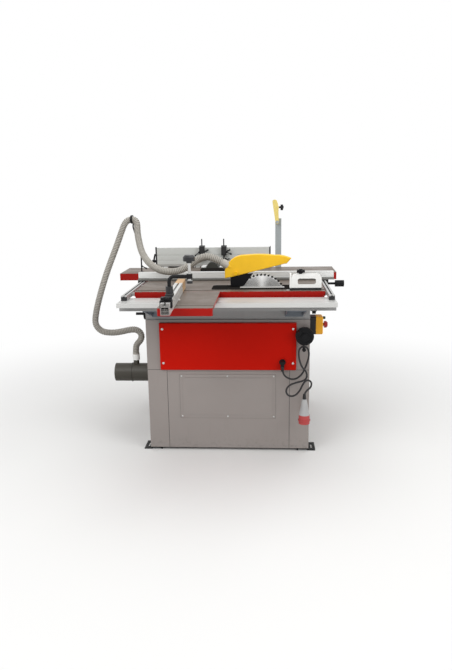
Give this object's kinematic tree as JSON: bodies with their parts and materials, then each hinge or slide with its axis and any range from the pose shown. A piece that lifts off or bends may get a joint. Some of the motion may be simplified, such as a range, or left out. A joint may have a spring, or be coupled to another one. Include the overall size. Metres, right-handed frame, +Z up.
{
  "type": "combination woodworking machine",
  "caption": "Combination woodworking machine: circular saw with sliding table, guard and fences in front, planer and thicknesser behind, on a sheet steel cabinet.",
  "frame": {"origin": "floor level under the middle of the machine's outline without hose, cable and plug", "axes": "+X to the right as seen by the operator at the sliding table, +Y to the back, +Z up"},
  "size_m": [1.3675, 1.5504, 1.2532],
  "materials": {
    "grey_paint": "semi-gloss grey enamel",
    "red_paint": "glossy red enamel",
    "machined_iron": "machined top, red painted edges",
    "dark_paint": "satin black",
    "steel": "machined steel",
    "aluminium": "anodised extrusion",
    "black_plastic": "moulded black",
    "yellow_plastic": "moulded yellow",
    "white_paint": "white powder coat",
    "wood": "planed pale wood",
    "hose_plastic": "ribbed light grey plastic",
    "port_plastic": "moulded dark grey",
    "motor_paint": "grey cast housing",
    "cable_rubber": "black sheath",
    "plug_plastic": "grey handle with a red shell",
    "red_plastic": "red button",
    "green_plastic": "start button"
  },
  "bodies": {
    "frame": {"base_cabinet": "grey_paint", "access_cover": "grey_paint", "red_cover": "red_paint", "foot_brackets": "dark_paint", "saw_table": "machined_iron", "table_insert": "dark_paint", "side_rails": "aluminium", "slide_rail": "aluminium", "rail_brackets": "grey_paint", "saw_column": "steel", "riving_knife": "steel", "planer_cheeks": "grey_paint", "outfeed_table": "machined_iron", "bed_column": "steel", "planer_motor": "motor_paint", "cutter_hood": "dark_paint", "dust_port": "port_plastic", "dust_hose": "hose_plastic", "hose_holder": "steel", "switch_box": "yellow_plastic", "cable_gland": "black_plastic", "supply_cable": "cable_rubber", "supply_plug": "plug_plastic"},
    "saw_unit": {"saw_carriage": "motor_paint", "saw_motor": "motor_paint", "saw_belt": "cable_rubber"},
    "blade": {"saw_blade": "steel", "saw_arbor": "steel"},
    "saw_rotor": {"saw_motor_pulley": "steel"},
    "lift_wheel": {"lift_wheel": "black_plastic"},
    "lock_knob": {"lock_knob": "black_plastic"},
    "bed_wheel": {"bed_wheel": "black_plastic"},
    "side_knob": {"side_knob": "black_plastic"},
    "saw_guard": {"saw_guard": "yellow_plastic"},
    "slide": {"sliding_table": "machined_iron"},
    "crosscut": {"crosscut_fence": "aluminium", "fence_end_block": "wood"},
    "fence_stop": {"fence_stop": "black_plastic"},
    "clamp_arm": {"clamp_arm": "dark_paint"},
    "clamp_screw": {"clamp_screw": "black_plastic"},
    "rip": {"rip_fence": "aluminium", "rip_carriages": "black_plastic"},
    "rip_knob": {"rip_knob": "black_plastic"},
    "gauge": {"gauge_bar": "steel"},
    "gauge_head": {"gauge_head": "white_paint"},
    "gauge_knob": {"gauge_knob": "black_plastic"},
    "cutterblock": {"cutterblock": "steel"},
    "infeed_roller": {"infeed_roller": "steel"},
    "outfeed_roller": {"outfeed_roller": "steel"},
    "planer_rotor": {"planer_motor_pulley": "steel"},
    "bed": {"thickness_bed": "machined_iron"},
    "infeed": {"infeed_table": "machined_iron", "guard_post": "grey_paint"},
    "guard_arm": {"guard_arm": "yellow_plastic"},
    "planer_fence": {"planer_fence": "aluminium"},
    "fence_lever": {"fence_lever": "black_plastic"},
    "presser_left": {"presser_left": "dark_paint"},
    "presser_right": {"presser_right": "dark_paint"},
    "stop_button": {"stop_button": "red_plastic"},
    "start_button": {"start_button": "green_plastic"}
  },
  "joints": [
    {"name": "saw_lift", "type": "slide", "parent": "frame", "child": "saw_unit", "axis": [0, 0, 1], "range_m": [-0.066, 0.014]},
    {"name": "blade_spin", "type": "hinge", "parent": "saw_unit", "child": "blade", "pos_m": [0.2, -0.0398, 0.789], "axis": [0, 1, 0], "continuous": true},
    {"name": "saw_motor_spin", "type": "hinge", "parent": "saw_unit", "child": "saw_rotor", "pos_m": [0.2, 0.1312, 0.63], "axis": [0, 1, 0], "continuous": true},
    {"name": "lift_wheel_turn", "type": "hinge", "parent": "frame", "child": "lift_wheel", "pos_m": [0.408, -0.1288, 0.616], "axis": [0, -1, 0], "range_deg": [-1200, 260]},
    {"name": "lock_knob_turn", "type": "hinge", "parent": "frame", "child": "lock_knob", "pos_m": [0.404, -0.1448, 0.555], "axis": [0, -1, 0], "continuous": true},
    {"name": "bed_wheel_turn", "type": "hinge", "parent": "frame", "child": "bed_wheel", "pos_m": [-0.39, -0.0048, 0.708], "axis": [1, 0, 0], "range_deg": [-5100, 2200]},
    {"name": "side_knob_turn", "type": "hinge", "parent": "frame", "child": "side_knob", "pos_m": [0.448, -0.0348, 0.731], "axis": [1, 0, 0], "continuous": true},
    {"name": "guard_swing", "type": "hinge", "parent": "frame", "child": "saw_guard", "pos_m": [0.073, -0.0398, 0.918], "axis": [0, -1, 0], "range_deg": [-12, 55], "deforming": ["dust_hose"]},
    {"name": "sliding_table_travel", "type": "slide", "parent": "frame", "child": "slide", "axis": [1, 0, 0], "range_m": [-0.18, 0.43]},
    {"name": "crosscut_fence_swivel", "type": "hinge", "parent": "slide", "child": "crosscut", "pos_m": [-0.179, -0.4198, 0.85], "axis": [0, 0, 1], "range_deg": [-45, 45]},
    {"name": "fence_stop_travel", "type": "slide", "parent": "crosscut", "child": "fence_stop", "axis": [-0.0366, 0.9993, 0], "range_m": [-0.03, 0.07]},
    {"name": "clamp_arm_swing", "type": "hinge", "parent": "crosscut", "child": "clamp_arm", "pos_m": [-0.17222, -0.60468, 0.979], "axis": [0, 0, 1], "range_deg": [-90, 90]},
    {"name": "clamp_screw_feed", "type": "slide", "parent": "clamp_arm", "child": "clamp_screw", "axis": [0, 0, 1], "range_m": [-0.04, 0.007]},
    {"name": "rip_fence_travel", "type": "slide", "parent": "frame", "child": "rip", "axis": [0, 1, 0], "range_m": [-0.17, 0.12]},
    {"name": "rip_knob_turn", "type": "hinge", "parent": "rip", "child": "rip_knob", "pos_m": [0.58, 0.1882, 0.828], "axis": [1, 0, 0], "continuous": true},
    {"name": "gauge_travel", "type": "slide", "parent": "frame", "child": "gauge", "axis": [1, 0, 0], "range_m": [-0.3, 0.02]},
    {"name": "gauge_swivel", "type": "hinge", "parent": "gauge", "child": "gauge_head", "pos_m": [0.383, -0.1568, 0.851], "axis": [0, 0, 1], "range_deg": [-45, 45]},
    {"name": "gauge_knob_turn", "type": "hinge", "parent": "gauge_head", "child": "gauge_knob", "pos_m": [0.383, -0.1568, 0.926], "axis": [0, 0, 1], "continuous": true},
    {"name": "cutterblock_spin", "type": "hinge", "parent": "frame", "child": "cutterblock", "pos_m": [-0.09, 0.6052, 0.814], "axis": [0, 1, 0], "continuous": true},
    {"name": "infeed_roller_spin", "type": "hinge", "parent": "frame", "child": "infeed_roller", "pos_m": [-0.015, 0.6052, 0.786], "axis": [0, 1, 0], "continuous": true},
    {"name": "outfeed_roller_spin", "type": "hinge", "parent": "frame", "child": "outfeed_roller", "pos_m": [-0.165, 0.6052, 0.786], "axis": [0, 1, 0], "continuous": true},
    {"name": "planer_motor_spin", "type": "hinge", "parent": "frame", "child": "planer_rotor", "pos_m": [-0.09, 0.4202, 0.33], "axis": [0, 1, 0], "continuous": true},
    {"name": "bed_height", "type": "slide", "parent": "frame", "child": "bed", "axis": [0, 0, 1], "range_m": [-0.14, 0.06]},
    {"name": "infeed_table_height", "type": "slide", "parent": "frame", "child": "infeed", "axis": [0, 0, 1], "range_m": [-0.003, 0]},
    {"name": "guard_arm_swing", "type": "hinge", "parent": "infeed", "child": "guard_arm", "pos_m": [0.286, 0.7252, 1.122], "axis": [0, 1, 0], "range_deg": [-95, 10]},
    {"name": "planer_fence_tilt", "type": "hinge", "parent": "frame", "child": "planer_fence", "pos_m": [-0.302, 0.7552, 0.846], "axis": [-1, 0, 0], "range_deg": [0, 45]},
    {"name": "fence_lever_turn", "type": "hinge", "parent": "planer_fence", "child": "fence_lever", "pos_m": [-0.477, 0.7557, 0.888], "axis": [1, 0, 0], "range_deg": [-60, 60]},
    {"name": "presser_left_height", "type": "slide", "parent": "planer_fence", "child": "presser_left", "axis": [0, 0, 1], "range_m": [-0.03, 0.016]},
    {"name": "presser_right_height", "type": "slide", "parent": "planer_fence", "child": "presser_right", "axis": [0, 0, 1], "range_m": [-0.03, 0.016]},
    {"name": "stop_press", "type": "slide", "parent": "frame", "child": "stop_button", "axis": [1, 0, 0], "range_m": [-0.005, 0], "stiffness_N_per_m": 800},
    {"name": "start_press", "type": "slide", "parent": "frame", "child": "start_button", "axis": [1, 0, 0], "range_m": [-0.004, 0], "stiffness_N_per_m": 800}
  ],
  "couplings": [
    {"joint": "saw_motor_spin", "follows": "blade_spin", "ratio": 1},
    {"joint": "lift_wheel_turn", "follows": "saw_lift", "rad_per_m": 314.16},
    {"joint": "bed_wheel_turn", "follows": "bed_height", "rad_per_m": 628.32},
    {"joint": "infeed_roller_spin", "follows": "cutterblock_spin", "ratio": -0.012},
    {"joint": "outfeed_roller_spin", "follows": "cutterblock_spin", "ratio": -0.012},
    {"joint": "planer_motor_spin", "follows": "cutterblock_spin", "ratio": 0.5098}
  ]
}
